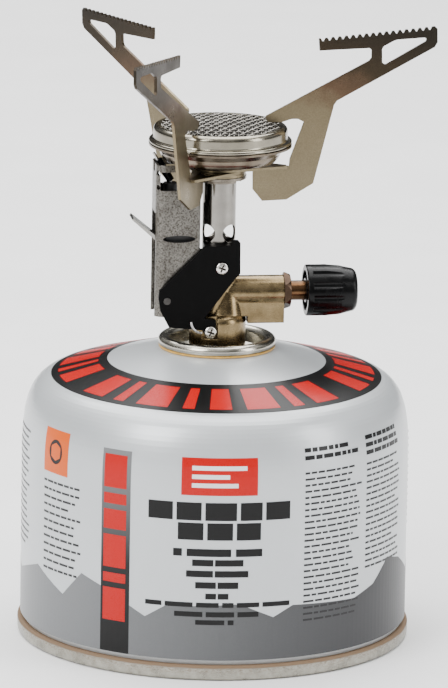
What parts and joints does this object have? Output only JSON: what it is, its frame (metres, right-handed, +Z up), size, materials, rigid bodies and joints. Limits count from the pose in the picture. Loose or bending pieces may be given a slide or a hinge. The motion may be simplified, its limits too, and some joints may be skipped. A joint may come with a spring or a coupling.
{
  "type": "camping stove",
  "caption": "Small canister-top gas stove with folding serrated pot supports, a lever piezo igniter and a control knob, screwed onto a squat gas canister.",
  "frame": {"origin": "centre of the canister's foot ring, on the surface that it stands on", "axes": "+Z up, through the canister, mixing tube and burner; +X along the gas valve's spindle, towards the knob; -Y is the side with the housing screws"},
  "size_m": [0.1145, 0.1094, 0.1714],
  "materials": {
    "can_paint": "light silver-grey enamel",
    "tinplate": "rolled tinplate",
    "bright_steel": "bright rolled rim",
    "lacquer": "gold sealing lacquer",
    "zinc": "zinc plated",
    "rubber": "nitrile rubber",
    "white_plastic": "moulded acetal",
    "spring_steel": "spring wire",
    "valve_metal": "dull nickelled brass",
    "brass": "turned brass",
    "knob_plastic": "gloss black",
    "tube_steel": "turned stainless steel",
    "burner_steel": "stainless steel, warm from heat",
    "mesh_steel": "dark perforated steel",
    "arm_steel": "stainless steel with heat tint",
    "black_plastic": "satin black moulding",
    "bracket_steel": "satin stamped steel",
    "lever_steel": "bright stamped steel"
  },
  "bodies": {
    "canister": {"canister_shell": "can_paint", "canister_base": "tinplate", "valve_cup": "bright_steel", "cup_gasket": "lacquer", "canister_valve": "zinc", "valve_seal": "rubber", "valve_spring": "spring_steel"},
    "valve_stem": {"valve_stem": "white_plastic"},
    "seal_ring": {"socket_seal": "rubber"},
    "stove": {"valve_body": "valve_metal", "depressor_pin": "brass", "jet": "brass", "gland_nut": "valve_metal", "mixing_tube": "tube_steel", "tube_circlip": "spring_steel", "arm_washer": "tube_steel", "burner_bowl": "burner_steel", "burner_drum": "burner_steel", "burner_plate": "mesh_steel", "arm_right": "arm_steel", "housing_front": "black_plastic", "housing_rear": "black_plastic", "housing_screws": "bright_steel", "hinge_pin": "bright_steel", "earth_wire": "spring_steel", "igniter_bracket": "bracket_steel", "piezo_body": "black_plastic", "piezo_spring": "spring_steel", "electrode_insulator": "black_plastic", "electrode": "spring_steel"},
    "control_knob": {"spindle": "brass", "spindle_seal": "rubber", "knob": "knob_plastic"},
    "arm_rear": {"arm_rear": "arm_steel"},
    "arm_front": {"arm_front": "arm_steel"},
    "trigger": {"trigger_lever": "lever_steel"},
    "plunger": {"piezo_plunger": "white_plastic"}
  },
  "joints": [
    {"name": "stove_rise", "type": "slide", "parent": "canister", "child": "seal_ring", "axis": [0, 0, 1], "range_m": [0, 0.00453]},
    {"name": "stove_turn", "type": "hinge", "parent": "seal_ring", "child": "stove", "pos_m": [0, 0, 0.088], "axis": [0, 0, 1], "range_deg": [0, 1800]},
    {"name": "stem_rise", "type": "slide", "parent": "canister", "child": "valve_stem", "axis": [0, 0, 1], "range_m": [0, 0.00125], "deforming": ["valve_spring"]},
    {"name": "knob_turn", "type": "hinge", "parent": "stove", "child": "control_knob", "pos_m": [0.02, 0, 0.0968], "axis": [1, 0, 0], "range_deg": [0, 720]},
    {"name": "arm_rear_fold", "type": "hinge", "parent": "stove", "child": "arm_rear", "pos_m": [0, 0, 0.1305], "axis": [0, 0, 1], "range_deg": [-90, 0]},
    {"name": "arm_front_fold", "type": "hinge", "parent": "stove", "child": "arm_front", "pos_m": [0, 0, 0.1313], "axis": [0, 0, 1], "range_deg": [0, 70]},
    {"name": "trigger_press", "type": "hinge", "parent": "stove", "child": "trigger", "pos_m": [-0.0151, 0, 0.0958], "axis": [0, -1, 0], "range_deg": [0, 28]},
    {"name": "plunger_rise", "type": "slide", "parent": "stove", "child": "plunger", "axis": [0, 0, 1], "range_m": [0, 0.0021], "stiffness_N_per_m": 300, "springref_m": -0.001, "deforming": ["piezo_spring"]}
  ],
  "couplings": [
    {"joint": "stove_turn", "follows": "stove_rise", "rad_per_m": 6926.4},
    {"joint": "stem_rise", "follows": "stove_rise", "ratio": 0.2646},
    {"joint": "trigger_press", "follows": "plunger_rise", "rad_per_m": 232.4}
  ]
}
